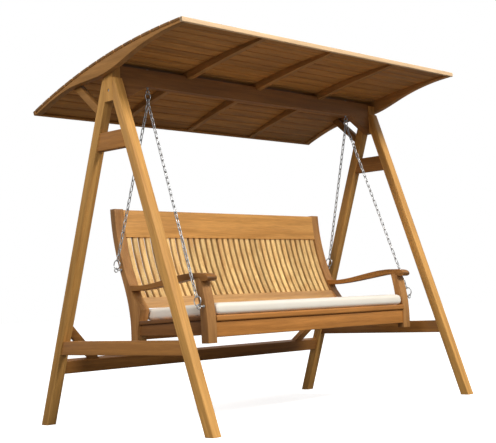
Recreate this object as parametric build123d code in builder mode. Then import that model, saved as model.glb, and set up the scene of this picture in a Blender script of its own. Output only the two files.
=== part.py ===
"""Roofed garden porch swing: a timber stand with an arched slatted roof, and a slatted bench hung
on chains under its ridge beam.

Millimetres. X runs along the beam (to the sitter's left), Y to the rear, Z up. The origin is on the
ground under the middle of the stand. The chain anchors stand in line with X, so the bench swings
about one axis along X, through the tops of the two hanging rings.
"""

from build123d import *
from math import asin, atan2, cos, degrees, pi, radians, sin, sqrt, tan
import os

os.makedirs("parts", exist_ok=True)

# ---- stand: overall sizes and timber sections ----
stand_width = 2000.0  # outside to outside of the two A-frames
foot_spread = 1200.0  # front to rear over the feet
leg_tilt = 19.0  # each leg leans this far from upright, degrees
leg_x = 52.0  # leg section along X
leg_w = 48.0  # leg section in the plane of the A-frame
apex_w = 58.0  # the block between the leg tops
apex_top = 1672.0
leg_tip_cut = 40.0  # the sharp tip of a leg is sawn off this far below its point
rail_t = 36.0  # thickness of rails, stretcher and braces
rail_inset = 5.0  # rails lie this far inside the outer faces of the legs
side_rail_z, side_rail_h = 340.0, 66.0
crossbar_z, crossbar_h = 1287.0, 85.0
stretcher_s, stretcher_h = 265.0, 66.0  # measured up the slope of the rear legs
brace_foot, brace_reach, brace_w = 208.0, 184.0, 42.0  # along the stretcher, up the leg, width
brace_t = 30.0
tenon_t, tenon_h, tenon_l = 12.0, 38.0, 22.0
tenon_gap = 0.2
edge = 2.5  # eased edges of the sawn timber

# ---- ridge beam and its gussets ----
beam_t, beam_h, beam_top = 44.0, 80.0, 1680.0
gusset_l, gusset_drop = 172.0, 90.0
bolt_r, bolt_head_r, bolt_head_h = 4.0, 6.5, 5.0
bolt_l, bolt_gap, bolt_recess, bolt_z = 100.0, 0.2, 9.0, 1562.0

# ---- roof: an arch, tilted so that its front edge is the higher ----
slat_overhang = 4.0  # the roof slats run this far past the end rafters
roof_chord, roof_rise = 1120.0, 48.0
roof_tilt = 13.1
roof_top = 1709.0  # top of the arch over the beam
roof_slat_count, roof_slat_w, roof_slat_t = 17, 58.5, 12.0
fascia_t, fascia_h = 16.0, 22.0
end_rafter_t, end_rafter_belly, end_rafter_waist, end_rafter_tip = 36.0, 64.0, 28.0, 11.0
inner_rafter_t, inner_rafter_mid, inner_rafter_tip = 34.0, 36.0, 10.0
inner_rafter_count = 3
strut_w, strut_t = 32.0, 36.0
strut_foot_z, strut_head_y, strut_climb = 1466.0, 243.0, 130.0

# ---- bench: overall sizes ----
bench_inner = 1436.0  # clear width between the posts
post_t = 56.0
bench_front, bench_bottom = -364.0, 380.0
front_post_d, front_post_tip = 44.0, 37.0  # its depth at the foot and at the armrest
front_post_lean, lean_from_z = 42.0, 440.0  # its head is swept this far back, from this height up
seat_top, seat_tilt = 505.0, 2.0
rear_leg_front, rear_leg_d = 118.0, 48.0
back_r, back_y, back_z = 1000.0, -742.0, 1080.0  # circle that the front of the back follows
back_post_d, back_top_z = 34.0, 1040.0
back_knee, back_knee_z, leg_sweep = 28.0, 543.0, 98.0  # the post steps forward at the seat
front_arc_z, rear_arc_z = 604.0, 780.0  # the post joins the curve of the back from here up
slat_tongue = 10.0
back_rail_t, top_rail_h, bottom_rail_h = 32.0, 136.0, 52.0
bottom_rail_dip = 15.5  # the rail stands this far under the top of a level cushion
back_slat_count, back_slat_w, back_slat_t = 34, 27.0, 18.0
back_slat_flats, slat_play = 4, 0.5  # a slat follows the curve in flats, loose in its grooves
arm_w, arm_rear_t, arm_front_t = 60.0, 30.0, 25.0
arm_rear_z, arm_middle_z, arm_crest_z = 663.0, 678.0, 700.0
arm_middle_y, arm_crest_y = -80.0, -292.0
arm_tip_y, arm_tip_drop = -378.0, 22.0  # the scroll at the front end
arm_scroll_l, arm_scroll_h, arm_scroll_turn = 62.0, 34.0, 12.0
nosing_d, nosing_t = 62.0, 28.0
apron_t, apron_h = 24.0, 71.0
seat_slat_count, seat_slat_w, seat_slat_t = 5, 64.0, 18.0
side_apron_h = 58.0
bearer_t, bearer_h = 30.0, 46.0
cushion_t, cushion_side_gap, cushion_r = 58.5, 5.0, 13.0
cushion_front, cushion_rear = -372.0, 145.0  # its rear is tucked under the back's bottom rail
rest_gap = 0.3  # the cushion lies this far clear of the seat

# ---- hanging gear ----
hang_x = 757.0  # the beam eyes, either side of the middle
eye_wire_r, eye_loop_r = 3.0, 11.0
beam_eye_z = 1578.0
hang_ring_r, post_ring_r, ring_wire_r = 16.0, 22.0, 2.5
post_eye_out, post_eye_loop_r, post_eye_wire_r = 33.0, 10.0, 2.5
front_eye_y, front_eye_z = -344.0, 547.0
rear_eye_z, rear_eye_depth = 738.0, 22.0
shank_r, nut_af, nut_t = 4.0, 13.0, 6.5
screw_l = 42.0  # the posts' eyes are screwed this deep into their outer faces
link_wire_r, link_half_w, link_tip, link_pitch = 2.7, 6.25, 3.6, 29.0
link_gap = 0.3
chain_split = 3.3  # the two chains of a side sit this far either side of the ring's middle
loop_sides, wire_sides, shank_sides = 8, 4, 6

# ---- derived sizes ----
half_w = stand_width / 2
half_foot = foot_spread / 2
leg_run = tan(radians(leg_tilt))
leg_cut = leg_w / cos(radians(leg_tilt))  # the leg's width measured level
apex_bottom = (half_foot - leg_cut - apex_w / 2) / leg_run
leg_top = (half_foot - apex_w / 2) / leg_run - leg_tip_cut
leg_inner_x = half_w - leg_x
post_in = bench_inner / 2
post_out = post_in + post_t
roof_length = stand_width + 2 * (end_rafter_t + slat_overhang)
bottom_rail_z = seat_top + cushion_t - bottom_rail_dip
roof_r = (roof_chord**2 / 4 + roof_rise**2) / (2 * roof_rise)
beam_bottom = beam_top - beam_h
rear_eye_y = back_y + sqrt((back_r + rear_eye_depth) ** 2 - (rear_eye_z - back_z) ** 2)
SIDES = (("left", -1), ("right", 1))


def keep(piece, name):
    """Label a finished piece and write its STEP file."""
    piece.part.label = name
    export_step(piece.part, f"parts/{name}.step")


def across(side, inner, outer):
    """The YZ plane at the left-hand edge of a piece that lies between inner and outer on one side."""
    return Plane.YZ.offset(inner if side > 0 else -outer)


def ease(piece, direction, radius=edge):
    """Chamfer the long edges of a timber."""
    chamfer(piece.edges().filter_by(direction).group_by(SortBy.LENGTH)[-1], radius)


# ==== stand ====


def leg_y(z, inner=False):
    """Distance from the middle plane to a leg's outer or inner edge at height z."""
    return half_foot - z * leg_run - (leg_cut if inner else 0)


def rail_face(z, height, reach=0.0, gap=0.0):
    """Outline of a level rail between the legs: its ends follow their slope, and pass it by reach."""
    low, high = z - gap, z + height + gap
    with BuildSketch(Plane.YZ) as face:
        with BuildLine():
            Polyline(
                (-leg_y(low, True) - reach, low),
                (leg_y(low, True) + reach, low),
                (leg_y(high, True) + reach, high),
                (-leg_y(high, True) - reach, high),
                close=True,
            )
        make_face()
    return face.sketch_local


def rail_x(side, thickness=rail_t):
    """Left-hand X of a rail of this thickness, centred on the rails of one side."""
    middle = half_w - rail_inset - rail_t / 2
    return side * middle - thickness / 2


def side_tenon(side, z, height, gap=0.0):
    """Stub tenons at both ends of a level rail, or the mortises for them."""
    with BuildPart(mode=Mode.PRIVATE) as stub:
        with BuildSketch(Plane.YZ.offset(rail_x(side, tenon_t) - gap)):
            add(rail_face(z + (height - tenon_h) / 2, tenon_h, tenon_l + gap, gap))
        extrude(amount=tenon_t + 2 * gap)
    return stub.part


# The rear stretcher and its braces lie in the sloping plane of the rear legs.
rear_plane = Plane(
    origin=(0, half_foot - leg_cut / 2, 0),
    x_dir=(1, 0, 0),
    z_dir=(0, -cos(radians(leg_tilt)), -sin(radians(leg_tilt))),
)


def stretcher_tenon(gap=0.0):
    """Stub tenons of the rear stretcher, or the mortises for them."""
    with BuildPart(mode=Mode.PRIVATE) as stub:
        with BuildSketch(rear_plane.offset(-tenon_t / 2 - gap)):
            with Locations((0, stretcher_s + stretcher_h / 2)):
                Rectangle(2 * (leg_inner_x + tenon_l + gap), tenon_h + 2 * gap)
        extrude(amount=tenon_t + 2 * gap)
    return stub.part


def beam_tenon(gap=0.0):
    """Stub tenons of the ridge beam in the apex blocks, or the mortises for them."""
    with BuildPart(mode=Mode.PRIVATE) as stub:
        with Locations((0, 0, beam_top - beam_h / 2)):
            Box(2 * (leg_inner_x + tenon_l + gap), tenon_t + 2 * gap, tenon_h + 2 * gap)
    return stub.part


for side_name, side in SIDES:
    for leg_name, front in (("front", -1), ("rear", 1)):
        with BuildPart() as leg:
            with BuildSketch(across(side, leg_inner_x, half_w)):
                with BuildLine():
                    Polyline(
                        (front * half_foot, 0),
                        (front * (half_foot - leg_cut), 0),
                        (front * apex_w / 2, apex_bottom),
                        (front * apex_w / 2, leg_top),
                        (front * leg_y(leg_top), leg_top),
                        close=True,
                    )
                make_face()
            extrude(amount=leg_x)
            long_edges = leg.edges().filter_by(Plane.YZ).group_by(SortBy.LENGTH)[-2:]
            chamfer(long_edges[0] + long_edges[1], edge)
            add(side_tenon(side, side_rail_z, side_rail_h, tenon_gap), mode=Mode.SUBTRACT)
            add(side_tenon(side, crossbar_z, crossbar_h, tenon_gap), mode=Mode.SUBTRACT)
            if front > 0:
                add(stretcher_tenon(tenon_gap), mode=Mode.SUBTRACT)
        keep(leg, f"leg_{leg_name}_{side_name}")

    with BuildPart() as apex_block:
        with BuildSketch(across(side, leg_inner_x, half_w)):
            with Locations((0, (apex_bottom + apex_top) / 2)):
                Rectangle(apex_w, apex_top - apex_bottom)
        extrude(amount=leg_x)
        with Locations(Plane((side * half_w, 0, bolt_z), z_dir=(side, 0, 0))):
            CounterBoreHole(bolt_r + bolt_gap, bolt_head_r + 0.5, bolt_recess, leg_x)
        add(beam_tenon(tenon_gap), mode=Mode.SUBTRACT)
    keep(apex_block, f"apex_block_{side_name}")

    for rail_name, z, height in (
        ("side_rail", side_rail_z, side_rail_h),
        ("upper_crossbar", crossbar_z, crossbar_h),
    ):
        with BuildPart() as rail:
            with BuildSketch(Plane.YZ.offset(rail_x(side))):
                add(rail_face(z, height))
            extrude(amount=rail_t)
            ease(rail, Axis.Y)
            add(side_tenon(side, z, height))
        keep(rail, f"{rail_name}_{side_name}")

with BuildPart() as rear_stretcher:
    with BuildSketch(rear_plane.offset(-rail_t / 2)):
        with Locations((0, stretcher_s + stretcher_h / 2)):
            Rectangle(2 * leg_inner_x, stretcher_h)
    extrude(amount=rail_t)
    ease(rear_stretcher, Axis.X)
    add(stretcher_tenon())
keep(rear_stretcher, "rear_stretcher")

for side_name, side in SIDES:
    stretcher_top = stretcher_s + stretcher_h
    slope = atan2(brace_reach, brace_foot)
    with BuildPart() as brace:
        with BuildSketch(rear_plane.offset(-brace_t / 2)):
            with BuildLine():
                Polyline(
                    (side * (leg_inner_x - brace_foot), stretcher_top),
                    (side * (leg_inner_x - brace_foot + brace_w / sin(slope)), stretcher_top),
                    (side * leg_inner_x, stretcher_top + brace_reach - brace_w / cos(slope)),
                    (side * leg_inner_x, stretcher_top + brace_reach),
                    close=True,
                )
            make_face()
        extrude(amount=brace_t)
    keep(brace, f"stretcher_brace_{side_name}")

# ==== ridge beam, gussets and their bolts ====

with BuildPart() as ridge_beam:
    with BuildSketch(Plane.YZ.offset(-leg_inner_x)):
        with Locations((0, beam_top - beam_h / 2)):
            Rectangle(beam_t, beam_h)
    extrude(amount=2 * leg_inner_x)
    add(beam_tenon())
    with Locations(*[Plane((s * hang_x, 0, beam_bottom), z_dir=(0, 0, -1)) for _, s in SIDES]):
        Hole(shank_r + bolt_gap, beam_h)
keep(ridge_beam, "ridge_beam")

for side_name, side in SIDES:
    with BuildPart() as gusset:
        with BuildSketch(Plane.XZ.offset(-beam_t / 2)):
            with BuildLine():
                Polyline(
                    (side * leg_inner_x, beam_bottom),
                    (side * (leg_inner_x - gusset_l), beam_bottom),
                    (side * leg_inner_x, beam_bottom - gusset_drop),
                    close=True,
                )
            make_face()
        extrude(amount=beam_t)
        with Locations(Plane((side * leg_inner_x, 0, bolt_z), z_dir=(side, 0, 0))):
            Hole(bolt_r + bolt_gap, bolt_l - leg_x)
    keep(gusset, f"beam_gusset_{side_name}")

with BuildPart() as beam_bolts:
    for _, side in SIDES:
        seat = Plane((side * (half_w - bolt_recess), 0, bolt_z), z_dir=(side, 0, 0))
        with BuildSketch(seat):
            RegularPolygon(bolt_head_r, 6)
        extrude(amount=bolt_head_h)
        with BuildSketch(seat):
            RegularPolygon(bolt_r, shank_sides)
        extrude(amount=bolt_recess - bolt_l + 1)
keep(beam_bolts, "beam_bolts")

# ==== roof ====

roof_centre = Plane(
    origin=(0, 0, roof_top),
    x_dir=(0, cos(radians(roof_tilt)), -sin(radians(roof_tilt))),
    z_dir=(1, 0, 0),
)  # local x runs down to the rear, local y up, local z along the roof


def arch_point(angle, depth):
    """Point of the arch at an angle from its middle, this far below the slats' upper faces."""
    return ((roof_r - depth) * sin(angle), (roof_r - depth) * cos(angle) - roof_r)


roof_angle = asin((roof_chord / 2 - fascia_t) / roof_r)  # from the middle to the rafters' ends
slat_under = roof_slat_t  # the rafters' upper edges lie this far under the slats' upper faces


def rafter_top():
    """The arched upper edge that every rafter has."""
    return ThreePointArc(
        arch_point(-roof_angle, slat_under), (0, -slat_under), arch_point(roof_angle, slat_under)
    )


for side_name, side in SIDES:
    with BuildPart() as end_rafter:
        x = half_w if side > 0 else -half_w - end_rafter_t
        with BuildSketch(roof_centre.offset(x)):
            with BuildLine():
                top = rafter_top()
                low = Spline(
                    arch_point(-roof_angle, slat_under + end_rafter_tip),
                    arch_point(-roof_angle * 0.4, slat_under + end_rafter_waist + 10),
                    arch_point(0, slat_under + end_rafter_belly),
                    arch_point(roof_angle * 0.4, slat_under + end_rafter_waist),
                    arch_point(roof_angle, slat_under + end_rafter_tip),
                    tangents=[(cos(roof_angle), end * sin(roof_angle)) for end in (1, -1)],
                )
                Line(top @ 0, low @ 0)
                Line(top @ 1, low @ 1)
            make_face()
        extrude(amount=end_rafter_t)
    keep(end_rafter, f"end_rafter_{side_name}")

bay = stand_width / (inner_rafter_count + 1)
for i, place in enumerate(("left", "middle", "right")[:inner_rafter_count]):
    x = -half_w + (i + 1) * bay
    with BuildPart() as inner_rafter:
        with BuildSketch(roof_centre.offset(x - inner_rafter_t / 2)):
            with BuildLine():
                top = rafter_top()
                low = ThreePointArc(
                    arch_point(-roof_angle, slat_under + inner_rafter_tip),
                    (0, -slat_under - inner_rafter_mid),
                    arch_point(roof_angle, slat_under + inner_rafter_tip),
                )
                Line(top @ 0, low @ 0)
                Line(top @ 1, low @ 1)
            make_face()
        extrude(amount=inner_rafter_t)
        with BuildSketch(Plane.YZ.offset(x - inner_rafter_t / 2)):  # notch over the beam
            with Locations((0, beam_top - beam_h / 2)):
                Rectangle(beam_t, beam_h)
        extrude(amount=inner_rafter_t, mode=Mode.SUBTRACT)
    keep(inner_rafter, f"inner_rafter_{place}")

slat_pitch = 2 * roof_angle / roof_slat_count


def slat_plane(i):
    """Plane on the underside of slat i, at its middle, square to the arch."""
    angle = -roof_angle + (i + 0.5) * slat_pitch
    point = roof_centre.from_local_coords((*arch_point(angle, roof_slat_t), 0))
    turn = angle + radians(roof_tilt)
    return Plane(origin=point, x_dir=(1, 0, 0), z_dir=(0, sin(turn), cos(turn)))


half_slats = roof_slat_count // 2
for part_name, first, last in (
    ("roof_slats_front", 0, half_slats),
    ("roof_slats_rear", half_slats, roof_slat_count),
):
    with BuildPart() as roof_slats:
        for i in range(first, last):
            with BuildSketch(slat_plane(i)):
                Rectangle(roof_length, roof_slat_w)
            extrude(amount=roof_slat_t)
    keep(roof_slats, part_name)

for edge_name, end in (("front", -1), ("rear", 1)):
    with BuildPart() as fascia:
        with BuildSketch(roof_centre.offset(-roof_length / 2)):
            with Locations(Location(arch_point(end * roof_angle, 0), -end * degrees(roof_angle))):
                Rectangle(
                    fascia_t, fascia_h, align=(Align.MIN if end > 0 else Align.MAX, Align.MAX)
                )
        extrude(amount=roof_length)
        ease(fascia, Axis.X, 2)
    keep(fascia, f"roof_{edge_name}_fascia")

for side_name, side in SIDES:
    rise = atan2(strut_climb, strut_head_y - leg_y(strut_foot_z))
    foot_top = strut_foot_z + strut_t / cos(rise) / (1 + tan(rise) * leg_run)
    with BuildPart() as roof_strut:
        with BuildSketch(across(side, half_w - strut_w, half_w)):
            reach = 2 * strut_head_y
            with BuildLine():
                Polyline(
                    (leg_y(strut_foot_z), strut_foot_z),
                    (leg_y(strut_foot_z) + reach, strut_foot_z + reach * tan(rise)),
                    (leg_y(foot_top) + reach, foot_top + reach * tan(rise)),
                    (leg_y(foot_top), foot_top),
                    close=True,
                )
            make_face()
        extrude(amount=strut_w)
        with BuildSketch(roof_centre.offset(side * (half_w - strut_w / 2) - strut_w)):
            with Locations((0, -roof_r)):
                Circle(roof_r - roof_slat_t - 1)
        extrude(amount=2 * strut_w, mode=Mode.INTERSECT)
    keep(roof_strut, f"roof_strut_{side_name}")


# ==== bench ====


def back_point(z, depth=0.0):
    """Point of the back's curve at height z, this far behind its front face."""
    return (back_y + sqrt((back_r + depth) ** 2 - (z - back_z) ** 2), z)


def back_slope(z, depth=0.0):
    """Direction of the back's curve at height z, upwards."""
    return (back_z - z, back_point(z, depth)[0] - back_y)


def back_curve(low, high, depth):
    """The arc of the back between two heights, this far behind its front face."""
    return ThreePointArc(
        back_point(low, depth), back_point((low + high) / 2, depth), back_point(high, depth)
    )


def back_band(low, high, near, far):
    """Outline of a curved piece of the back between two heights and two depths."""
    with BuildSketch(Plane.YZ) as face:
        with BuildLine():
            front = back_curve(low, high, near)
            rear = back_curve(low, high, far)
            Line(front @ 0, rear @ 0)
            Line(front @ 1, rear @ 1)
        make_face()
    return face.sketch_local


def rear_post_face():
    """Outline of a rear post: upright leg, knee at the seat, then the curve of the back."""
    with BuildSketch(Plane.YZ) as face:
        with BuildLine():
            knee = (rear_leg_front - back_knee, back_knee_z)
            leg = Line((rear_leg_front, bench_bottom), (rear_leg_front, back_knee_z - leg_sweep))
            Line(leg @ 1, knee)
            Line(knee, back_point(front_arc_z))
            front = back_curve(front_arc_z, back_top_z, 0)
            rear = back_curve(rear_arc_z, back_top_z, back_post_d)
            heel = Line(
                (rear_leg_front + rear_leg_d, bench_bottom),
                (rear_leg_front + rear_leg_d, back_knee_z - leg_sweep),
            )
            Spline(heel @ 1, rear @ 0, tangents=[(0, 1), back_slope(rear_arc_z, back_post_d)])
            Line(leg @ 0, heel @ 0)
            Line(front @ 1, rear @ 1)
        make_face()
    return face.sketch_local


def arm_face():
    """Outline of an armrest: a long wave that ends in a scroll over the front post."""
    scroll = (arm_tip_y + arm_scroll_l / 2, arm_crest_z - arm_tip_drop)
    rear = rear_leg_front + 60
    middle_t = (arm_rear_t + arm_front_t) / 2
    with BuildSketch(Plane.YZ) as face:
        with BuildLine():
            top = Spline(
                (rear, arm_rear_z),
                (arm_middle_y, arm_middle_z),
                (arm_crest_y, arm_crest_z),
                (scroll[0], scroll[1] + arm_scroll_h / 2),
            )
            under = Spline(
                (rear, arm_rear_z - arm_rear_t),
                (arm_middle_y, arm_middle_z - middle_t),
                (arm_crest_y, arm_crest_z - arm_front_t),
                scroll,
            )
            Line(top @ 0, under @ 0)
            Line(top @ 1, under @ 1)
        make_face()
        with Locations(scroll):
            Ellipse(arm_scroll_l / 2, arm_scroll_h / 2, rotation=arm_scroll_turn)
        add(rear_post_face(), mode=Mode.SUBTRACT)
    return face.sketch_local.faces().sort_by(SortBy.AREA)[-1]


def front_post_face():
    """Outline of a front post: upright, then swept back and narrower, up to the armrest."""
    head = (bench_front + front_post_lean, arm_crest_z - 10)
    with BuildSketch(Plane.YZ) as face:
        with BuildLine():
            foot = Line((bench_front, bench_bottom), (bench_front + front_post_d, bench_bottom))
            front = Line(foot @ 0, (bench_front, lean_from_z))
            rear = Line(foot @ 1, (bench_front + front_post_d, lean_from_z))
            sweep_front = TangentArc(front @ 1, head, tangent=(0, 1))
            sweep_rear = TangentArc(rear @ 1, (head[0] + front_post_tip, head[1]), tangent=(0, 1))
            Line(sweep_front @ 1, sweep_rear @ 1)
        make_face()
        add(arm_face(), mode=Mode.SUBTRACT)
    return face.sketch_local.faces().sort_by(Axis.Y)[0]


def bench_tenon(rail_face_y, z, thickness, height, gap=0.0):
    """Tenons of a rail that runs between the posts, or the mortises for them."""
    with BuildPart(mode=Mode.PRIVATE) as stub:
        with Locations((0, rail_face_y + thickness / 2, z + height / 2)):
            Box(
                2 * (post_in + tenon_l + gap),
                thickness / 2 + 2 * gap,
                height * 0.6 + 2 * gap,
            )
    return stub.part


def back_tenon(low, high, gap=0.0):
    """Tenons of a curved back rail, or the mortises for them."""
    inset, reach = back_rail_t / 4, post_in + tenon_l + gap
    rise = (high - low) * 0.2
    with BuildPart(mode=Mode.PRIVATE) as stub:
        with BuildSketch(Plane.YZ.offset(-reach)):
            add(back_band(low + rise - gap, high - rise + gap, inset - gap, 3 * inset + gap))
        extrude(amount=2 * reach)
    return stub.part


def seat_z(y, drop=0.0):
    """Height of the seat plane at y, or of a plane this far below it."""
    return seat_top - (y - bench_front) * tan(radians(seat_tilt)) - drop / cos(radians(seat_tilt))


apron_y = bench_front + 6
apron_top = seat_z(apron_y + apron_t, nosing_t)
rear_rail_y = rear_leg_front + 10
rear_rail_top = seat_z(rear_rail_y + apron_t, seat_slat_t)
bottom_rail_top = bottom_rail_z + bottom_rail_h
top_rail_z = back_top_z - 4 - top_rail_h


def rail_mortises(front):
    """Cut the mortises of the rails that meet a front or a rear post."""
    if front:
        low = apron_top - apron_h
        add(bench_tenon(apron_y, low, apron_t, apron_h, tenon_gap), mode=Mode.SUBTRACT)
    else:
        low = rear_rail_top - apron_h
        add(bench_tenon(rear_rail_y, low, apron_t, apron_h, tenon_gap), mode=Mode.SUBTRACT)
        add(back_tenon(bottom_rail_z, bottom_rail_top, tenon_gap), mode=Mode.SUBTRACT)
        add(back_tenon(top_rail_z, top_rail_z + top_rail_h, tenon_gap), mode=Mode.SUBTRACT)


def eye_hole(side, y, z):
    """Where a screw eye's hole starts, on the outer face of a post."""
    return Plane((side * post_out, y, z), z_dir=(side, 0, 0))


for side_name, side in SIDES:
    with BuildPart() as front_post:
        with BuildSketch(across(side, post_in, post_out)):
            add(front_post_face())
        extrude(amount=post_t)
        rail_mortises(front=True)
        with Locations(eye_hole(side, front_eye_y, front_eye_z)):
            Hole(shank_r + bolt_gap, screw_l + 1)
    keep(front_post, f"front_post_{side_name}")

    with BuildPart() as rear_post:
        with BuildSketch(across(side, post_in, post_out)):
            add(rear_post_face())
        extrude(amount=post_t)
        rail_mortises(front=False)
        with Locations(eye_hole(side, rear_eye_y, rear_eye_z)):
            Hole(shank_r + bolt_gap, screw_l + 1)
    keep(rear_post, f"rear_post_{side_name}")

    with BuildPart() as armrest:
        overlap = (arm_w - post_t) / 2
        with BuildSketch(across(side, post_in - overlap, post_out + overlap)):
            add(arm_face())
        extrude(amount=arm_w)
    keep(armrest, f"armrest_{side_name}")

with BuildPart() as back_top_rail:
    with BuildSketch(Plane.YZ.offset(-post_in)):
        add(back_band(top_rail_z, top_rail_z + top_rail_h, 0, back_rail_t))
    extrude(amount=bench_inner)
    add(back_tenon(top_rail_z, top_rail_z + top_rail_h))
    groove = (back_rail_t - back_slat_t) / 2 - slat_play
    with BuildSketch(Plane.YZ.offset(-post_in)):  # groove for the heads of the slats
        add(back_band(top_rail_z - 1, top_rail_z + slat_tongue, groove, back_rail_t - groove))
    extrude(amount=bench_inner, mode=Mode.SUBTRACT)
keep(back_top_rail, "back_top_rail")

with BuildPart() as back_bottom_rail:
    with BuildSketch(Plane.YZ.offset(-post_in)):
        add(back_band(bottom_rail_z, bottom_rail_top, 0, back_rail_t))
    extrude(amount=bench_inner)
    add(back_tenon(bottom_rail_z, bottom_rail_top))
    with BuildSketch(Plane.YZ.offset(-post_in)):  # groove for the feet of the slats
        low, high = bottom_rail_top - slat_tongue, bottom_rail_top + 1
        add(back_band(low, high, groove, back_rail_t - groove))
    extrude(amount=bench_inner, mode=Mode.SUBTRACT)
keep(back_bottom_rail, "back_bottom_rail")

with BuildPart() as back_slats:
    near = (back_rail_t - back_slat_t) / 2
    low, high = bottom_rail_top - slat_tongue + tenon_gap, top_rail_z + slat_tongue - tenon_gap
    heights = [low + (high - low) * k / back_slat_flats for k in range(back_slat_flats + 1)]
    pitch = bench_inner / back_slat_count
    for i in range(back_slat_count):
        x = -post_in + (i + 0.5) * pitch - back_slat_w / 2
        with BuildSketch(Plane.YZ.offset(x)):
            with BuildLine():
                Polyline(
                    *[back_point(z, near) for z in heights],
                    *[back_point(z, near + back_slat_t) for z in reversed(heights)],
                    close=True,
                )
            make_face()
        extrude(amount=back_slat_w)
keep(back_slats, "back_slats")

# ---- seat: everything on it follows one plane that falls to the rear ----
seat_plane = Plane(
    origin=(0, bench_front, seat_top),
    x_dir=(1, 0, 0),
    z_dir=(0, sin(radians(seat_tilt)), cos(radians(seat_tilt))),
)
nosing_rear = nosing_d - 4
slat_zone = rear_leg_front - bench_front - nosing_rear - 6

with BuildPart() as seat_nosing:
    with BuildSketch(seat_plane.offset(-nosing_t)):
        with Locations((-post_in, -4)):
            Rectangle(bench_inner, nosing_d, align=Align.MIN)
    extrude(amount=nosing_t)
    fillet(seat_nosing.edges().filter_by(Axis.X).sort_by(Axis.Y)[:2], nosing_t * 0.3)
keep(seat_nosing, "seat_nosing")

with BuildPart() as seat_front_apron:
    with Locations((0, apron_y + apron_t / 2, apron_top - apron_h / 2)):
        Box(bench_inner, apron_t, apron_h)
    ease(seat_front_apron, Axis.X)
    add(bench_tenon(apron_y, apron_top - apron_h, apron_t, apron_h))
keep(seat_front_apron, "seat_front_apron")

with BuildPart() as seat_rear_rail:
    with Locations((0, rear_rail_y + apron_t / 2, rear_rail_top - apron_h / 2)):
        Box(bench_inner, apron_t, apron_h)
    ease(seat_rear_rail, Axis.X)
    add(bench_tenon(rear_rail_y, rear_rail_top - apron_h, apron_t, apron_h))
keep(seat_rear_rail, "seat_rear_rail")

front_post_rear = bench_front + front_post_d


def seat_side_face(high, low_front, low_rear):
    """Outline of a piece of the seat's side, from the front post to the rear post."""
    with BuildSketch(Plane.YZ) as face:
        with BuildLine():
            Polyline(
                (front_post_rear, low_front),
                (rear_leg_front, low_rear),
                (rear_leg_front, seat_z(rear_leg_front, high)),
                (front_post_rear, seat_z(front_post_rear, high)),
                close=True,
            )
        make_face()
        add(rear_post_face(), mode=Mode.SUBTRACT)
        add(front_post_face(), mode=Mode.SUBTRACT)
    return face.sketch_local


for side_name, side in SIDES:
    with BuildPart() as side_apron:
        low = apron_top - side_apron_h
        with BuildSketch(across(side, post_in + 18, post_in + 18 + apron_t)):
            add(seat_side_face(seat_slat_t, low, low))
        extrude(amount=apron_t)
    keep(side_apron, f"seat_side_apron_{side_name}")

    with BuildPart() as side_cap:
        under = [seat_z(y, seat_slat_t) for y in (front_post_rear, rear_leg_front)]
        with BuildSketch(across(side, post_in + 2, post_out - 2)):
            add(seat_side_face(0, *under))
        extrude(amount=post_t - 4)
    keep(side_cap, f"seat_side_cap_{side_name}")

for i, bearer_name in enumerate(("left", "middle", "right")):
    with BuildPart() as bearer:
        x = (i - 1) * (post_in - bearer_t) - bearer_t / 2
        with BuildSketch(Plane.YZ.offset(x)):
            with BuildLine():
                start, end = apron_y + apron_t, rear_rail_y
                step = bench_front - 4 + nosing_d  # lower under the nosing than under the slats
                Polyline(
                    (start, seat_z(start, nosing_t)),
                    (step, seat_z(step, nosing_t)),
                    (step, seat_z(step, seat_slat_t)),
                    (end, seat_z(end, seat_slat_t)),
                    (end, seat_z(end, seat_slat_t + bearer_h)),
                    (start, seat_z(start, seat_slat_t + bearer_h)),
                    close=True,
                )
            make_face()
        extrude(amount=bearer_t)
    keep(bearer, f"seat_bearer_{bearer_name}")

with BuildPart() as seat_slats:
    step = slat_zone / seat_slat_count
    for i in range(seat_slat_count):
        with BuildSketch(seat_plane.offset(-seat_slat_t)):
            with Locations((0, nosing_rear + (i + 0.5) * step + 3)):
                Rectangle(bench_inner - 2, seat_slat_w)
        extrude(amount=seat_slat_t)
keep(seat_slats, "seat_slats")

with BuildPart() as seat_cushion:
    depth = cushion_rear - cushion_front
    with BuildSketch(seat_plane.offset(rest_gap)):
        with Locations((0, cushion_front - bench_front + depth / 2)):
            Rectangle(bench_inner - 2 * cushion_side_gap, depth)
    extrude(amount=cushion_t)
    chamfer(seat_cushion.edges(), cushion_r)
keep(seat_cushion, "seat_cushion")

# ==== hanging gear ====


def wire_loop(plane, points, radius):
    """A closed loop of wire through points of a plane; the first lies inside a straight run."""
    with BuildPart(mode=Mode.PRIVATE) as loop:
        with BuildLine() as path:
            Polyline(*[plane.from_local_coords((u, v, 0)) for u, v in points], close=True)
        wire = path.wires()[0]
        with BuildSketch(Plane(origin=wire @ 0, x_dir=plane.z_dir, z_dir=wire % 0)):
            RegularPolygon(radius, wire_sides)
        sweep(path=wire, transition=Transition.RIGHT)
    return loop.part


def wire_ring(plane, ring_r, radius):
    """A ring of wire round the plane's origin, with a straight run at the top and the bottom."""
    turn, corner = 2 * pi / loop_sides, ring_r / cos(pi / loop_sides)
    corners = [
        (corner * sin((i + 0.5) * turn), -corner * cos((i + 0.5) * turn)) for i in range(loop_sides)
    ]
    return wire_loop(plane, [(0, -ring_r)] + corners, radius)


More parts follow.
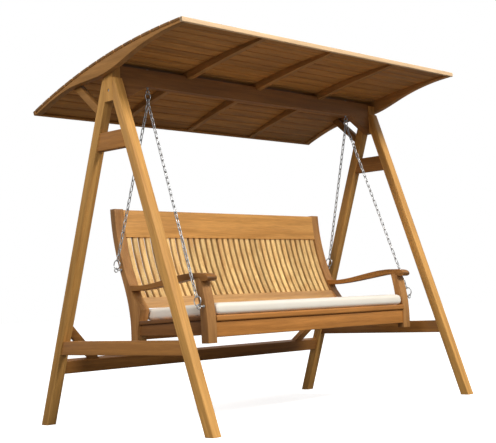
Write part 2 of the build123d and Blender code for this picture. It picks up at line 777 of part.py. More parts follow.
def eye_bolt(plane, depth, wire_r, loop_r, stand_off, nut=False):
    """An eye on a shank. The plane's z points from the timber's face out to the eye; the shank runs
    this deep into the timber, and a nut may sit on the far side."""
    eye = plane.from_local_coords((0, 0, stand_off))
    with BuildPart(mode=Mode.PRIVATE) as bolt:
        add(wire_ring(Plane(eye, x_dir=plane.x_dir, z_dir=plane.y_dir), loop_r, wire_r))
        with BuildSketch(plane.offset(stand_off - loop_r)):
            RegularPolygon(shank_r, shank_sides)
        extrude(amount=-(depth + (nut_t + 1 if nut else 0) + stand_off - loop_r))
        with BuildSketch(plane):
            RegularPolygon(shank_r + 3, shank_sides)
        extrude(amount=2.5)
        if nut:
            with BuildSketch(plane.offset(-depth)):
                RegularPolygon(nut_af / 2, 6, major_radius=False)
            extrude(amount=-nut_t)
    return bolt.part


apex_lap = 2 * link_wire_r / cos(atan2(link_tip, link_half_w))  # two tips that meet share this


def hang_chain(top, bottom):
    """A chain of interlocked links between two points that its end tips lie on."""
    span = (top - bottom).length
    up = (top - bottom).normalized()
    lap = apex_lap + link_gap
    count = 2 * round((span - lap) / link_pitch / 2)
    pitch = (span - lap) / count
    straight = (pitch + lap) / 2 - link_tip
    outline = [
        (link_half_w, 0),
        (link_half_w, straight),
        (0, straight + link_tip),
        (-link_half_w, straight),
        (-link_half_w, -straight),
        (0, -straight - link_tip),
        (link_half_w, -straight),
    ]
    link = wire_loop(Plane.XY, outline, link_wire_r)
    flat = (Vector(1, 0, 0) - up * up.X).normalized()
    faces = [up.cross(flat).normalized(), flat]
    places = []
    for i in range(count):
        middle = top - up * ((pitch + lap) / 2 + i * pitch)
        places.append(Plane(origin=middle, x_dir=faces[i % 2], z_dir=faces[i % 2].cross(up)))
    with BuildPart(mode=Mode.PRIVATE) as chain:
        with Locations(*places):
            add(link)
    return chain.part


ring_top_z = beam_eye_z - eye_loop_r + eye_wire_r + ring_wire_r + link_gap / 2
tip_rise = ring_wire_r + apex_lap / 2 + link_gap / 2  # ring's wire to the tip of a link on it

with BuildPart() as beam_eyes:
    for _, side in SIDES:
        down = Plane((side * hang_x, 0, beam_bottom), x_dir=(0, 1, 0), z_dir=(0, 0, -1))
        add(eye_bolt(down, beam_h, eye_wire_r, eye_loop_r, beam_bottom - beam_eye_z, nut=True))
keep(beam_eyes, "beam_eye_bolts")

with BuildPart() as hanging_rings:
    for _, side in SIDES:
        centre = (side * hang_x, 0, ring_top_z - hang_ring_r)
        add(wire_ring(Plane(centre, x_dir=(1, 0, 0), z_dir=(0, -1, 0)), hang_ring_r, ring_wire_r))
keep(hanging_rings, "hanging_rings")

post_eyes = []
post_rings = []
for side_name, side in SIDES:
    for chain_name, shift, y, z in (
        ("front", chain_split, front_eye_y, front_eye_z),
        ("rear", -chain_split, rear_eye_y, rear_eye_z),
    ):
        outward = Plane((side * post_out, y, z), x_dir=(0, 0, 1), z_dir=(side, 0, 0))
        post_eyes.append(eye_bolt(outward, screw_l, post_eye_wire_r, post_eye_loop_r, post_eye_out))

        top = Vector(side * (hang_x + shift), 0, ring_top_z - 2 * hang_ring_r)
        rest = post_eye_loop_r - post_eye_wire_r - ring_wire_r - link_gap / 2
        bottom = Vector(side * (post_out + post_eye_out), y, z + rest)
        up = (top - bottom).normalized()
        centre = bottom + up * post_ring_r
        level = Vector(0, up.Z, -up.Y).normalized()
        ring_plane = Plane(centre, x_dir=level, z_dir=level.cross(up))
        post_rings.append(wire_ring(ring_plane, post_ring_r, ring_wire_r))

        with BuildPart() as chain:
            add(hang_chain(top + up * tip_rise, centre + up * (post_ring_r - tip_rise)))
        keep(chain, f"{chain_name}_chain_{side_name}")

for part_name, pieces in (("post_eye_bolts", post_eyes), ("post_rings", post_rings)):
    with BuildPart() as group:
        add(pieces)
    keep(group, part_name)
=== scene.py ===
import bpy
from itertools import count
from math import atan2, cos, pi, radians, sin, sqrt
from mathutils import Matrix, Vector


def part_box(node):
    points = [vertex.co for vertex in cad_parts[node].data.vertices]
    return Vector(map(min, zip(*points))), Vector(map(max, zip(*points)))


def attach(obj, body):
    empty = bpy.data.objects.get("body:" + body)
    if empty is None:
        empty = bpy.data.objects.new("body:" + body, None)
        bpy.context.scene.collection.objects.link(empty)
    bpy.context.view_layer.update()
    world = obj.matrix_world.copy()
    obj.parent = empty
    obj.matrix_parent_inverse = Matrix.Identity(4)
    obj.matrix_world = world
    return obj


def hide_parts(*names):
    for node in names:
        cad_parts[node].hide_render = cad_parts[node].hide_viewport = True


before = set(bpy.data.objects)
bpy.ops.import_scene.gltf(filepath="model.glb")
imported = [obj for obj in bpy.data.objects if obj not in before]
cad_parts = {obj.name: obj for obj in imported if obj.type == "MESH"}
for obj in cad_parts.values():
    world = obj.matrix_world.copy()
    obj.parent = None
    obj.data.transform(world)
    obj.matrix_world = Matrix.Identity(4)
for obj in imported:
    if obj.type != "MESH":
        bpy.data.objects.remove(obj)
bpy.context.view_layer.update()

# ---- Camera ----
# It stands off the front left corner of the swing, just above seat height, with a long lens. It
# looks slightly up and is rolled a little clockwise.
camera_place = Vector((-4.2587, -3.9410, 0.5761))
azimuth, elevation, roll = radians(-46.548), radians(-3.940), radians(-2.511)
bpy.ops.object.select_all(action="DESELECT")
camera_data = bpy.data.cameras.new("camera")
camera_data.sensor_fit = "HORIZONTAL"
camera_data.sensor_width = 36
camera_data.lens = 80.53
camera = bpy.data.objects.new("camera", camera_data)
bpy.context.scene.collection.objects.link(camera)
bpy.context.scene.camera = camera
back = Vector((sin(azimuth) * cos(elevation), -cos(azimuth) * cos(elevation), sin(elevation)))
level = (-back).cross(Vector((0, 0, 1))).normalized()
upright = level.cross(-back)
right = level * cos(roll) + upright * sin(roll)
up = upright * cos(roll) - level * sin(roll)
camera.matrix_world = Matrix(
    (
        (right.x, up.x, back.x, camera_place.x),
        (right.y, up.y, back.y, camera_place.y),
        (right.z, up.z, back.z, camera_place.z),
        (0, 0, 0, 1),
    )
)

# ---- Floor, backdrop and light ----
# A plain white studio floor that keeps the shadow of the stand, a white room, and two soft lamps.
# Room and floor are white where they are seen, and send less light back to the swing: the room most
# from overhead, the floor little.
side_light, overhead_light = 0.08, 0.60
floor_glow, floor_bounce, floor_white = 0.72, 0.20, 0.93


def ranged(tree, value, low, high, value_low=0.0, value_high=1.0):
    """Carries a value from its own range to the one between low and high."""
    node = tree.nodes.new("ShaderNodeMapRange")
    node.inputs["From Min"].default_value = value_low
    node.inputs["From Max"].default_value = value_high
    node.inputs["To Min"].default_value = low
    node.inputs["To Max"].default_value = high
    tree.links.new(value, node.inputs["Value"])
    return node.outputs["Result"]


def combined(tree, operation, first, second):
    """The sum, product or larger of two values."""
    node = tree.nodes.new("ShaderNodeMath")
    node.operation = operation
    tree.links.new(first, node.inputs[0])
    tree.links.new(second, node.inputs[1])
    return node.outputs[0]


def new_finish(name):
    """A material with its node tree and its surface shader."""
    made = bpy.data.materials.new(name)
    made.use_nodes = True
    return made, made.node_tree, made.node_tree.nodes["Principled BSDF"]


world = bpy.data.worlds.new("studio")
bpy.context.scene.world = world
world.use_nodes = True
room = world.node_tree
ray = room.nodes.new("ShaderNodeLightPath")
seen = combined(room, "MAXIMUM", ray.outputs["Is Camera Ray"], ray.outputs["Is Glossy Ray"])
seen = combined(room, "MAXIMUM", seen, ray.outputs["Is Transmission Ray"])
sky = room.nodes.new("ShaderNodeTexCoord")
height = room.nodes.new("ShaderNodeSeparateXYZ")
room.links.new(sky.outputs["Generated"], height.inputs[0])
strength = room.nodes.new("ShaderNodeMix")
room.links.new(seen, strength.inputs["Factor"])
room.links.new(
    ranged(room, height.outputs["Z"], side_light, overhead_light, value_high=0.8),
    strength.inputs[2],
)
strength.inputs[3].default_value = 1.0
background = room.nodes["Background"]
background.inputs["Color"].default_value = (1, 1, 1, 1)
room.links.new(strength.outputs[0], background.inputs["Strength"])

bpy.ops.mesh.primitive_plane_add(size=60, location=(0, 0, -0.0005))
floor = bpy.context.object
floor.name = "floor"
paper, paper_tree, shader = new_finish("floor_paper")
shader.inputs["Roughness"].default_value = 0.9
shader.inputs["Specular IOR Level"].default_value = 0.0
shader.inputs["Emission Color"].default_value = (1, 1, 1, 1)
ray = paper_tree.nodes.new("ShaderNodeLightPath")
by_eye = ray.outputs["Is Camera Ray"]
paper_tree.links.new(
    ranged(paper_tree, by_eye, 0.0, floor_glow), shader.inputs["Emission Strength"]
)
paper_tree.links.new(
    ranged(paper_tree, by_eye, floor_bounce, floor_white), shader.inputs["Base Color"]
)
floor.data.materials.append(paper)


def lamp(name, place, target, size, power, tint=(1, 1, 1)):
    """A soft square lamp at a place, turned to its target."""
    data = bpy.data.lights.new(name, "AREA")
    data.size = size
    data.energy = power
    data.color = tint
    lit = bpy.data.objects.new(name, data)
    bpy.context.scene.collection.objects.link(lit)
    lit.location = place
    lit.rotation_euler = (Vector(target) - Vector(place)).to_track_quat("-Z", "Y").to_euler()


lamp("key", (0.5, -5.1, 4.8), (0, 0, 0.8), 1.3, 315, (1, 0.97, 0.92))
lamp("fill", (-5.2, -1.6, 3.2), (0, 0, 0.9), 2.2, 130)
bpy.context.scene.view_settings.view_transform = "Standard"

# ---- Timber ----
# Every wooden piece is oiled hardwood. The boards are sawn square, planed, and their edges eased
# by hand; each board has its own tone, and its grain runs along its length.
piece_numbers = count(10, 10)
eased_edge, pinched = 0.0018, 0.00002


def timber(name, along, pale, dark, gloss=0.5):
    """Oiled wood whose grain runs along a direction. The board attribute shifts tone and figure."""
    wood, tree, shader = new_finish(name)
    nodes, links = tree.nodes, tree.links
    along = Vector(along)
    shader.inputs["Specular IOR Level"].default_value = 0.3
    place = nodes.new("ShaderNodeTexCoord")
    board = nodes.new("ShaderNodeAttribute")
    board.attribute_name = "board"
    shift = nodes.new("ShaderNodeVectorMath")
    shift.operation = "SCALE"
    shift.inputs[0].default_value = (3.7, 5.3, 4.1)
    links.new(board.outputs["Fac"], shift.inputs["Scale"])
    turn = nodes.new("ShaderNodeMapping")
    turn.inputs["Rotation"].default_value = along.rotation_difference(Vector((1, 0, 0))).to_euler()
    links.new(place.outputs["Object"], turn.inputs["Vector"])
    moved = nodes.new("ShaderNodeVectorMath")
    moved.operation = "ADD"
    links.new(turn.outputs["Vector"], moved.inputs[0])
    links.new(shift.outputs["Vector"], moved.inputs[1])

    def noise(scale, detail, roughness, distortion=0.0):
        """Noise stretched along the grain."""
        stretch = nodes.new("ShaderNodeMapping")
        stretch.inputs["Scale"].default_value = scale
        links.new(moved.outputs["Vector"], stretch.inputs["Vector"])
        pattern = nodes.new("ShaderNodeTexNoise")
        pattern.inputs["Scale"].default_value = 1
        pattern.inputs["Detail"].default_value = detail
        pattern.inputs["Roughness"].default_value = roughness
        pattern.inputs["Distortion"].default_value = distortion
        links.new(stretch.outputs["Vector"], pattern.inputs["Vector"])
        return pattern.outputs["Fac"]

    figure = noise((1.6, 34, 34), 5, 0.55, 0.5)
    fibre = noise((14, 420, 420), 3, 0.6)
    cloud = noise((2.2, 7, 7), 2, 0.5)

    ramp = nodes.new("ShaderNodeValToRGB")
    dark_stop, pale_stop = ramp.color_ramp.elements
    dark_stop.position, dark_stop.color = 0.30, (*dark, 1)
    pale_stop.position, pale_stop.color = 0.64, (*pale, 1)
    links.new(figure, ramp.inputs["Fac"])
    tone = nodes.new("ShaderNodeTexWhiteNoise")
    tone.noise_dimensions = "1D"
    links.new(board.outputs["Fac"], tone.inputs["W"])
    streaks = ranged(tree, fibre, 0.80, 1.08, 0.3, 0.7)
    own_tone = ranged(tree, tone.outputs["Value"], 0.86, 1.12)
    patches = ranged(tree, cloud, 0.90, 1.08, 0.3, 0.7)
    # sawn ends drink more oil than the planed faces, and darken; the darkening is made strong
    # enough to stand as painted shade on the ends too
    facing = nodes.new("ShaderNodeVectorMath")
    facing.operation = "DOT_PRODUCT"
    facing.inputs[1].default_value = along.normalized()
    links.new(place.outputs["Normal"], facing.inputs[0])
    either_end = nodes.new("ShaderNodeMath")
    either_end.operation = "ABSOLUTE"
    links.new(facing.outputs["Value"], either_end.inputs[0])
    sawn_end_and_painted_shade = ranged(tree, either_end.outputs[0], 1.0, 0.45, 0.80, 0.95)
    value = streaks
    for layer in (own_tone, patches, sawn_end_and_painted_shade):
        value = combined(tree, "MULTIPLY", value, layer)
    colour = nodes.new("ShaderNodeHueSaturation")
    links.new(value, colour.inputs["Value"])
    links.new(ramp.outputs["Color"], colour.inputs["Color"])
    links.new(colour.outputs["Color"], shader.inputs["Base Color"])

    sheen = ranged(tree, figure, gloss - 0.08, gloss + 0.14)
    links.new(sheen, shader.inputs["Roughness"])
    bump = nodes.new("ShaderNodeBump")
    bump.inputs["Strength"].default_value = 0.25
    bump.inputs["Distance"].default_value = 0.0006
    links.new(fibre, bump.inputs["Height"])
    links.new(bump.outputs["Normal"], shader.inputs["Normal"])
    return wood


def modelled_copy(node, name):
    """A free copy of a CAD solid, open in edit mode with its loose triangles merged."""
    bpy.ops.object.select_all(action="DESELECT")
    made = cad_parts[node].copy()
    made.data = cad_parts[node].data.copy()
    made.name = name
    made.parent = None
    for key in list(made.keys()):
        del made[key]
    bpy.context.scene.collection.objects.link(made)
    made.select_set(True)
    bpy.context.view_layer.objects.active = made
    bpy.ops.object.mode_set(mode="EDIT")
    bpy.ops.mesh.select_all(action="SELECT")
    bpy.ops.mesh.remove_doubles(threshold=0.00001)
    return made


def finish_wood(node, wood, body, edge=eased_edge, board=None):
    """The piece as planed wood: flat faces made whole, edges eased, and a number for each board."""
    made = modelled_copy(node, node + "_wood")
    bpy.ops.mesh.dissolve_limited(angle_limit=radians(0.6))
    bpy.ops.object.mode_set(mode="OBJECT")
    piece_number = next(piece_numbers)
    number = made.data.attributes.new("board", "FLOAT", "FACE")
    for face in made.data.polygons:
        number.data[face.index].value = piece_number + (board(face.center) if board else 0)
    eased = made.modifiers.new("eased_edges", "BEVEL")
    eased.width = edge
    eased.segments = 2
    eased.limit_method = "ANGLE"
    eased.angle_limit = radians(35)
    bpy.ops.object.modifier_apply(modifier=eased.name)
    # facets that the easing pinched to nothing are cleared away
    bpy.ops.object.mode_set(mode="EDIT")
    bpy.ops.mesh.select_all(action="SELECT")
    bpy.ops.mesh.remove_doubles(threshold=pinched)
    bpy.ops.mesh.dissolve_degenerate(threshold=pinched)
    bpy.ops.object.mode_set(mode="OBJECT")
    bpy.ops.object.shade_smooth_by_angle(angle=radians(28))
    made.data.materials.clear()
    made.data.materials.append(wood)
    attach(made, body)
    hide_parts(node)


# ---- The two A-frames ----
# Legs of nearly square section lean together on an apex block, with a crossbar and a low rail
# tenoned between them. A stretcher with two braces joins the rear legs. The legs are of a pale
# timber and the rails of a browner one.
lean = radians(19)
leg_pale, leg_dark = (0.714, 0.375, 0.101), (0.476, 0.226, 0.054)
rail_pale, rail_dark = (0.476, 0.208, 0.048), (0.297, 0.119, 0.025)
wood_front_leg = timber("oiled_wood_front_leg", (0, sin(lean), cos(lean)), leg_pale, leg_dark)
wood_rear_leg = timber("oiled_wood_rear_leg", (0, -sin(lean), cos(lean)), leg_pale, leg_dark)
wood_apex = timber("oiled_wood_apex", (0, 0, 1), leg_pale, leg_dark)
wood_rail = timber("oiled_wood_side_rail", (0, 1, 0), rail_pale, rail_dark)
wood_stretcher = timber("oiled_wood_stretcher", (1, 0, 0), rail_pale, rail_dark)
for side in ("left", "right"):
    finish_wood(f"leg_front_{side}", wood_front_leg, "stand")
    finish_wood(f"leg_rear_{side}", wood_rear_leg, "stand")
    finish_wood(f"apex_block_{side}", wood_apex, "stand", edge=0.0008)
    finish_wood(f"side_rail_{side}", wood_rail, "stand")
    finish_wood(f"upper_crossbar_{side}", wood_rail, "stand")
    finish_wood(f"stretcher_brace_{side}", wood_stretcher, "stand")
finish_wood("rear_stretcher", wood_stretcher, "stand")

# ---- Ridge beam ----
# One long board, set on edge between the two apex blocks, carries the bench. A triangular gusset
# stands under each end, against the block.
beam_pale, beam_dark = (0.405, 0.178, 0.050), (0.250, 0.102, 0.026)
wood_beam = timber("oiled_wood_beam", (1, 0, 0), beam_pale, beam_dark)
finish_wood("ridge_beam", wood_beam, "stand")
for side in ("left", "right"):
    finish_wood(f"beam_gusset_{side}", wood_beam, "stand")

# ---- Roof ----
# Thin slats are nailed across five arched rafters, and a batten closes the front and rear edges.
# The whole roof is tilted with its front edge up, and a strut from each rear leg holds it there.
roof_pale, roof_dark = (0.547, 0.250, 0.062), (0.333, 0.140, 0.031)
roof_r, roof_lean, roof_top = 3.290, radians(13.1), 1.709
roof_centre = Vector((0, -roof_r * sin(roof_lean), roof_top - roof_r * cos(roof_lean)))
roof_half_arc, roof_slat_pitch = 0.544, 0.064
rafter_pale, rafter_dark = (0.500, 0.238, 0.069), (0.309, 0.140, 0.036)
strut_pale, strut_dark = (0.357, 0.167, 0.043), (0.226, 0.098, 0.021)
# painted light: the front batten is coloured much paler than the rear one, for the light that falls
# on it
lit_fascia_pale, lit_fascia_dark = (0.900, 0.620, 0.360), (0.738, 0.500, 0.274)
wood_rafter = timber("oiled_wood_rafter", (0, 1, 0), rafter_pale, rafter_dark)
wood_strut = timber("oiled_wood_strut", (0, 1, 0), strut_pale, strut_dark)
wood_roof = timber("oiled_wood_roof", (1, 0, 0), roof_pale, roof_dark)
wood_fascia_painted_light = timber("oiled_wood_fascia_painted_light", (1, 0, 0), lit_fascia_pale, lit_fascia_dark)
for side in ("left", "right"):
    finish_wood(f"end_rafter_{side}", wood_rafter, "stand")
    finish_wood(f"roof_strut_{side}", wood_strut, "stand")
for place in ("left", "middle", "right"):
    finish_wood(f"inner_rafter_{place}", wood_rafter, "stand")


def roof_board(point):
    """Which slat of the roof a point is on, counted round the arch."""
    angle = atan2(point.y - roof_centre.y, point.z - roof_centre.z) - roof_lean
    return round((angle * roof_r + roof_half_arc) / roof_slat_pitch - 0.5)


for half in ("front", "rear"):
    finish_wood(f"roof_slats_{half}", wood_roof, "stand", 0.001, roof_board)
finish_wood("roof_front_fascia", wood_fascia_painted_light, "stand")
finish_wood("roof_rear_fascia", wood_roof, "stand")

# ---- Bench frame ----
# Bandsawn posts with a knee at the seat and a curved head, and wave-shaped armrests, all of the
# same oiled hardwood. Rails, aprons and bearers join them under the seat and across the back. The
# armrests and bearers, and the seat's side aprons and caps, are coloured darker as painted shade.
post_pale, post_dark = (0.530, 0.258, 0.080), (0.340, 0.147, 0.040)
apron_pale, apron_dark = (0.643, 0.268, 0.059), (0.440, 0.173, 0.033)
# painted shade: the armrests, and the bearers that share their wood, get a darker brown for the
# shade on them
shaded_arm_pale, shaded_arm_dark = (0.428, 0.184, 0.043), (0.274, 0.107, 0.021)
# painted shade: the seat's side aprons and caps get a deep brown for the shade on them
shaded_side_pale, shaded_side_dark = (0.238, 0.098, 0.026), (0.143, 0.055, 0.014)
slat_rail_pale, slat_rail_dark = (0.740, 0.420, 0.165), (0.520, 0.270, 0.095)
top_pale, top_dark = (0.762, 0.381, 0.105), (0.535, 0.244, 0.057)
wood_post = timber("oiled_wood_bench_post", (0, 0, 1), post_pale, post_dark)
wood_arm_painted_shade = timber("oiled_wood_armrest_painted_shade", (0, 1, 0), shaded_arm_pale, shaded_arm_dark)
wood_apron = timber("oiled_wood_apron", (1, 0, 0), apron_pale, apron_dark)
wood_side_painted_shade = timber("oiled_wood_seat_side_painted_shade", (0, 1, 0), shaded_side_pale, shaded_side_dark)
wood_slat_rail = timber("oiled_wood_bottom_rail", (1, 0, 0), slat_rail_pale, slat_rail_dark)
wood_top = timber("oiled_wood_back_rail", (1, 0, 0), top_pale, top_dark)
for side in ("left", "right"):
    finish_wood(f"front_post_{side}", wood_post, "bench")
    finish_wood(f"rear_post_{side}", wood_post, "bench")
    finish_wood(f"armrest_{side}", wood_arm_painted_shade, "bench", edge=0.004)
    finish_wood(f"seat_side_apron_{side}", wood_side_painted_shade, "bench")
    finish_wood(f"seat_side_cap_{side}", wood_side_painted_shade, "bench")
finish_wood("back_top_rail", wood_top, "bench")
finish_wood("back_bottom_rail", wood_slat_rail, "bench")
for node in ("seat_nosing", "seat_front_apron", "seat_rear_rail"):
    finish_wood(node, wood_apron, "bench")
for place in ("left", "middle", "right"):
    finish_wood(f"seat_bearer_{place}", wood_arm_painted_shade, "bench")

# ---- Slats of the back and the seat ----
# Narrow bent slats of a pale wood stand in grooves of the two back rails. The wider slats of the
# seat lie across the bearers.
slat_pale, slat_dark = (0.900, 0.619, 0.262), (0.643, 0.345, 0.113)
bench_inner, back_slat_count = 1.436, 34
seat_slat_pitch, seat_slat_start = 0.078, -0.5
wood_slat = timber("oiled_wood_back_slat", (0, 0, 1), slat_pale, slat_dark)


def back_slat(point):
    """Which slat of the back a point is on, counted from the left."""
    return int((point.x + bench_inner / 2) / (bench_inner / back_slat_count))


def seat_slat(point):
    """Which slat of the seat a point is on, counted from the front."""
    return int((point.y - seat_slat_start) / seat_slat_pitch)


finish_wood("back_slats", wood_slat, "bench", 0.0025, back_slat)
finish_wood("seat_slats", wood_apron, "bench", board=seat_slat)

# ---- Steel ----
# The rings, chains, eyes and bolts are galvanised wire and rod. They have a dull grey zinc skin
# with a faint spangle, each crystal of it a little rougher towards its edge.
zinc, zinc_tree, zinc_shader = new_finish("galvanised_steel")
zinc_shader.inputs["Metallic"].default_value = 0.9
zinc_place = zinc_tree.nodes.new("ShaderNodeTexCoord")
spangle = zinc_tree.nodes.new("ShaderNodeTexVoronoi")
spangle.inputs["Scale"].default_value = 260
zinc_tree.links.new(zinc_place.outputs["Object"], spangle.inputs["Vector"])
zinc_colour = zinc_tree.nodes.new("ShaderNodeValToRGB")
dull, bright = zinc_colour.color_ramp.elements
dull.color, bright.color = (0.30, 0.305, 0.31, 1), (0.52, 0.525, 0.53, 1)
zinc_tree.links.new(spangle.outputs["Color"], zinc_colour.inputs["Fac"])
zinc_tree.links.new(zinc_colour.outputs["Color"], zinc_shader.inputs["Base Color"])
zinc_rough = ranged(zinc_tree, spangle.outputs["Distance"], 0.28, 0.50)
zinc_tree.links.new(zinc_rough, zinc_shader.inputs["Roughness"])


def to_plane(piece, origin, x_axis, y_axis):
    """Puts a piece made about the world's origin into a plane, in its mesh."""
    x_axis, y_axis = Vector(x_axis).normalized(), Vector(y_axis).normalized()
    z_axis = x_axis.cross(y_axis)
    place = Matrix((x_axis, y_axis, z_axis)).transposed().to_4x4()
    place.translation = Vector(origin)
    piece.data.transform(place)


def wire_ring(name, radius, wire, rounds=32, sides=10):
    """A ring of round wire in the XY plane."""
    bpy.ops.object.select_all(action="DESELECT")
    bpy.ops.mesh.primitive_torus_add(
        major_radius=radius, minor_radius=wire, major_segments=rounds, minor_segments=sides
    )
    ring = bpy.context.object
    ring.name = name
    bpy.ops.object.shade_smooth()
    return ring


def rod(radius, start, end, sides=24):
    """A round bar along Z from start to end, or with six sides a hexagonal one."""
    bpy.ops.mesh.primitive_cylinder_add(radius=radius, depth=end - start, vertices=sides)
    made = bpy.context.object
    made.data.transform(Matrix.Translation((0, 0, (start + end) / 2)))
    return made


def steel_piece(name, parts, body, *nodes):
    """Joins parts into one steel piece that rides on a body and stands for its CAD nodes."""
    bpy.ops.object.select_all(action="DESELECT")
    for part in parts:
        part.select_set(True)
    bpy.context.view_layer.objects.active = parts[0]
    bpy.ops.object.join()
    made = parts[0]
    made.name = name
    made.data.materials.clear()
    made.data.materials.append(zinc)
    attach(made, body)
    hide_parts(*nodes)


# ---- Rings ----
# A large welded ring of round wire hangs in each beam eye, and takes the two chains of its side. A
# smaller one joins each chain to the eye in its bench post.
hang_x, ring_r, ring_wire, ring_top = 0.757, 0.016, 0.0025, 1.57265
small_r = 0.022
play = 0.0003
post_face, post_eye_out, eye_loop = 0.774, 0.033, 0.010
back_y, back_eye_r, back_eye_rise = -0.742, 1.022, 0.342
post_eyes = {
    "front": (-0.344, 0.547),
    "rear": (back_y + sqrt(back_eye_r**2 - back_eye_rise**2), 0.738),
}
chain_split = {"front": 0.0033, "rear": -0.0033}
big_rings = []
for side in (-1, 1):
    ring = wire_ring("big_ring", ring_r, ring_wire)
    to_plane(ring, (side * hang_x, 0, ring_top - ring_r), (1, 0, 0), (0, 0, 1))
    big_rings.append(ring)
steel_piece("hanging_rings_steel", big_rings, "bench", "hanging_rings")

chain_runs = {}
small_rings = []
for side, side_name in ((-1, "left"), (1, "right")):
    for end, (y, z) in post_eyes.items():
        top = Vector((side * (hang_x + chain_split[end]), 0, ring_top - 2 * ring_r))
        eye_x = side * (post_face + post_eye_out)
        bottom = Vector((eye_x, y, z + eye_loop - 2 * ring_wire - play / 2))
        along = (top - bottom).normalized()
        centre = bottom + along * small_r
        ring = wire_ring("small_ring", small_r, ring_wire)
        to_plane(ring, centre, Vector((0, along.z, -along.y)), along)
        small_rings.append(ring)
        chain_runs[f"{end}_chain_{side_name}"] = (top, centre + along * small_r)
steel_piece("post_rings_steel", small_rings, "bench", "post_rings")

# ---- Chains ----
# Short-link welded chain of 5 mm wire. Each link stands at right angles to the next, and a chain
# has an even number of them, because the rings at its two ends stand at right angles too.
link_wire, link_half, link_pitch = 0.0025, 0.00625, 0.029
link_rounds, link_sides = 14, 6
# the middle lines of two links pass each other by both radii of the wire and a little play
link_pass = 2.04 * link_wire
# a link of the CAD chain has pointed ends, and where two links meet, the points share a lap
cad_wire, cad_tip = 0.0027, 0.0036
tip = cad_wire / cos(atan2(cad_tip, link_half))
lap = 2 * tip + play
for name, (top, bottom) in chain_runs.items():
    along = (top - bottom).normalized()
    top = top + along * (ring_wire + tip + play / 2)
    bottom = bottom - along * (ring_wire + tip + play / 2)
    span = (top - bottom).length
    link_count = 2 * round((span - lap) / link_pitch / 2)
    pitch = (span - lap) / link_count
    flat = (Vector((1, 0, 0)) - along * along.x).normalized()
    faces = (along.cross(flat).normalized(), flat)
    chain_links = []
    pattern = wire_ring("link", link_half, link_wire, link_rounds, link_sides)
    stretch = (pitch + link_pass) / 2 - link_half
    for vertex in pattern.data.vertices:
        if abs(vertex.co.y) > 0.00001:
            vertex.co.y += stretch if vertex.co.y > 0 else -stretch
    for i in range(link_count):
        link = pattern.copy()
        link.data = pattern.data.copy()
        bpy.context.scene.collection.objects.link(link)
        to_plane(link, top - along * ((pitch + lap) / 2 + i * pitch), faces[i % 2], along)
        chain_links.append(link)
    bpy.data.objects.remove(pattern)
    steel_piece(name + "_steel", chain_links, "bench", name)

# ---- Eye bolts ----
# A bent eye of wire with a shank and a collar. Those in the ridge beam go right through it and are
# drawn up by a nut on top; those in the bench posts are screwed in.
shank_r, shank_end = 0.004, 0.001
nut_size, nut_depth = 0.013, 0.0065
collar_lip, collar_depth, worn_edge = 0.003, 0.0025, 0.0006
beam_bottom, beam_h, beam_eye_out, beam_loop, beam_eye_wire = 1.600, 0.080, 0.022, 0.011, 0.003
post_eye_wire, screw_depth = 0.0025, 0.042


def eye_bolt(face, out, across, stand_off, loop, wire, grip, nutted=True):
    """An eye on a timber face, in the plane of out and across. Its shank runs grip deep."""
    face, out, across = Vector(face), Vector(out), Vector(across)
    eye = wire_ring("eye", loop, wire)
    to_plane(eye, face + out * stand_off, across, out)
    bpy.ops.object.select_all(action="DESELECT")
    far = -(grip + nut_depth + shank_end) if nutted else -grip
    turned = [rod(shank_r, far, stand_off - loop), rod(shank_r + collar_lip, 0, collar_depth, 32)]
    if nutted:
        turned.append(rod(nut_size / sqrt(3), -grip - nut_depth, -grip, 6))
    for part in turned:
        bevel = part.modifiers.new("worn_edges", "BEVEL")
        bevel.width = worn_edge
        bevel.segments = 2
        bpy.context.view_layer.objects.active = part
        bpy.ops.object.modifier_apply(modifier=bevel.name)
        to_plane(part, face, across, out.cross(across))
        bpy.ops.object.select_all(action="DESELECT")
        part.select_set(True)
        bpy.ops.object.shade_smooth_by_angle(angle=radians(35))
    return [eye, *turned]


beam_eyes, bench_eyes = [], []
for side in (-1, 1):
    beam_eyes += eye_bolt(
        (side * hang_x, 0, beam_bottom),
        (0, 0, -1),
        (0, 1, 0),
        beam_eye_out,
        beam_loop,
        beam_eye_wire,
        beam_h,
    )
    for y, z in post_eyes.values():
        bench_eyes += eye_bolt(
            (side * post_face, y, z),
            (side, 0, 0),
            (0, 0, 1),
            post_eye_out,
            eye_loop,
            post_eye_wire,
            screw_depth,
            nutted=False,
        )
steel_piece("beam_eye_bolts_steel", beam_eyes, "stand", "beam_eye_bolts")
steel_piece("post_eye_bolts_steel", bench_eyes, "bench", "post_eye_bolts")

# ---- Beam bolts ----
# One hexagon bolt of galvanised steel at each end, its head sunk in the apex block, runs through
# the block into the gusset under the beam.
bolt_seat, bolt_z = 0.991, 1.562
bolt_r, bolt_length, bolt_head_r, bolt_head_h = 0.004, 0.090, 0.0065, 0.005
beam_bolts = []
for side in (-1, 1):
    bpy.ops.object.select_all(action="DESELECT")
    for radius, depth, middle, sides in (
        (bolt_head_r, bolt_head_h, bolt_seat + bolt_head_h / 2, 6),
        (bolt_r, bolt_length, bolt_seat - bolt_length / 2, 24),
    ):
        bpy.ops.mesh.primitive_cylinder_add(radius=radius, depth=depth, vertices=sides)
        part = bpy.context.object
        part.data.transform(Matrix.Rotation(pi / 2, 4, "Y"))
        part.data.transform(Matrix.Translation((side * middle, 0, bolt_z)))
        beam_bolts.append(part)
steel_piece("beam_bolts_steel", beam_bolts, "stand", "beam_bolts")

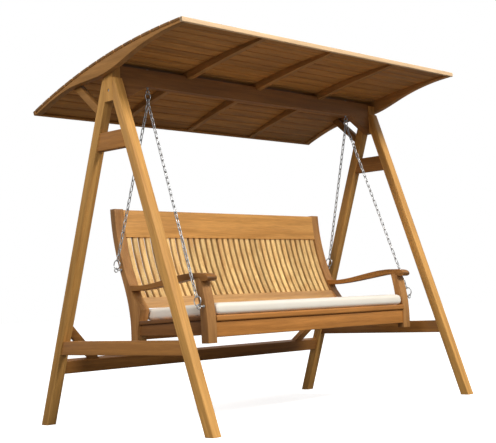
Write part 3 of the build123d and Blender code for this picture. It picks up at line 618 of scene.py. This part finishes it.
# ---- Seat cushion ----
# One long seat cushion of off-white outdoor cloth over foam. It is crowned on top, and its sides
# pull in a little between the corners; its rear edge is tucked under the bottom rail of the back.
cloth, cloth_tree, cloth_shader = new_finish("cushion_cloth")
cloth_shader.inputs["Roughness"].default_value = 0.9
cloth_shader.inputs["Sheen Weight"].default_value = 0.15
cloth_place = cloth_tree.nodes.new("ShaderNodeTexCoord")
mottle = cloth_tree.nodes.new("ShaderNodeTexNoise")
mottle.inputs["Scale"].default_value = 9
mottle.inputs["Detail"].default_value = 4
cloth_tree.links.new(cloth_place.outputs["Object"], mottle.inputs["Vector"])
shade = cloth_tree.nodes.new("ShaderNodeValToRGB")
shade.color_ramp.elements[0].color = (0.83, 0.77, 0.66, 1)
shade.color_ramp.elements[1].color = (0.90, 0.86, 0.78, 1)
cloth_tree.links.new(mottle.outputs["Fac"], shade.inputs["Fac"])
cloth_tree.links.new(shade.outputs["Color"], cloth_shader.inputs["Base Color"])
yarns = []
for turn in ((0, 0, 0), (0, 0, pi / 2)):
    yarn_place = cloth_tree.nodes.new("ShaderNodeMapping")
    yarn_place.inputs["Rotation"].default_value = turn
    cloth_tree.links.new(cloth_place.outputs["Object"], yarn_place.inputs["Vector"])
    yarn = cloth_tree.nodes.new("ShaderNodeTexWave")
    yarn.inputs["Scale"].default_value = 190
    yarn.inputs["Distortion"].default_value = 0.6
    cloth_tree.links.new(yarn_place.outputs["Vector"], yarn.inputs["Vector"])
    yarns.append(yarn.outputs["Fac"])
cloth_bump = cloth_tree.nodes.new("ShaderNodeBump")
cloth_bump.inputs["Strength"].default_value = 0.2
cloth_bump.inputs["Distance"].default_value = 0.0005
cloth_tree.links.new(combined(cloth_tree, "MAXIMUM", *yarns), cloth_bump.inputs["Height"])
cloth_tree.links.new(cloth_bump.outputs["Normal"], cloth_shader.inputs["Normal"])

pad = modelled_copy("seat_cushion", "seat_cushion_cloth")
bpy.ops.object.mode_set(mode="OBJECT")
seat_fall = radians(2)
seat_up = Vector((0, sin(seat_fall), cos(seat_fall)))
levels = [vertex.co.dot(seat_up) for vertex in pad.data.vertices]
underside, topside = min(levels) + 0.0004, max(levels) - 0.0002
voxel, quick_voxel = 0.009, 0.010
rough = pad.modifiers.new("remesh", "REMESH")
rough.mode = "VOXEL"
rough.voxel_size = voxel
bpy.ops.object.modifier_apply(modifier=rough.name)
low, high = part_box("seat_cushion")
middle, half = (low + high) / 2, (high - low) / 2
# the long sides pull in between the corners, and so do the ends
trim, side_pull, end_pull = 0.998, 0.014, 0.004
for vertex in pad.data.vertices:
    across = (vertex.co.x - middle.x) / half.x
    deep = (vertex.co.y - middle.y) / half.y
    in_sides = trim - side_pull * max(0, 1 - across**2)
    in_ends = trim - end_pull * max(0, 1 - deep**2)
    vertex.co.y = middle.y + (vertex.co.y - middle.y) * in_sides
    vertex.co.x = middle.x + (vertex.co.x - middle.x) * in_ends
steps, furthest = 20, 0.004
start = [vertex.co.copy() for vertex in pad.data.vertices]
puff = pad.modifiers.new("cloth", "CLOTH")
puff.settings.use_pressure = True
puff.settings.uniform_pressure_force = 4
puff.settings.tension_stiffness = 15
puff.settings.compression_stiffness = 15
puff.settings.effector_weights.gravity = 0
bpy.context.scene.frame_start = 1
bpy.context.scene.frame_end = steps
for step in range(1, steps + 1):
    bpy.context.scene.frame_set(step)
bpy.ops.object.modifier_apply(modifier=puff.name)
for vertex, before in zip(pad.data.vertices, start):
    move = vertex.co - before
    if move.length > furthest:
        move = move.normalized() * furthest
    vertex.co = before + move
bpy.context.scene.frame_set(1)
smooth = pad.modifiers.new("smooth", "SMOOTH")
smooth.iterations = 4
bpy.ops.object.modifier_apply(modifier=smooth.name)
fine = pad.modifiers.new("fine", "SUBSURF")
fine.levels = 1
fine.render_levels = 1
bpy.ops.object.modifier_apply(modifier=fine.name)
# the crown stays under the room that the seat and the back's bottom rail leave, and the underside
# lies flat on the slats
crown = max(vertex.co.dot(seat_up) for vertex in pad.data.vertices)
for vertex in pad.data.vertices:
    level = vertex.co.dot(seat_up)
    share = max(level - underside, 0) / (crown - underside)
    vertex.co += seat_up * (underside + share * (topside - underside) - level)
bpy.ops.object.shade_smooth()
pad.data.materials.clear()
pad.data.materials.append(cloth)
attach(pad, "bench")
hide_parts("seat_cushion")
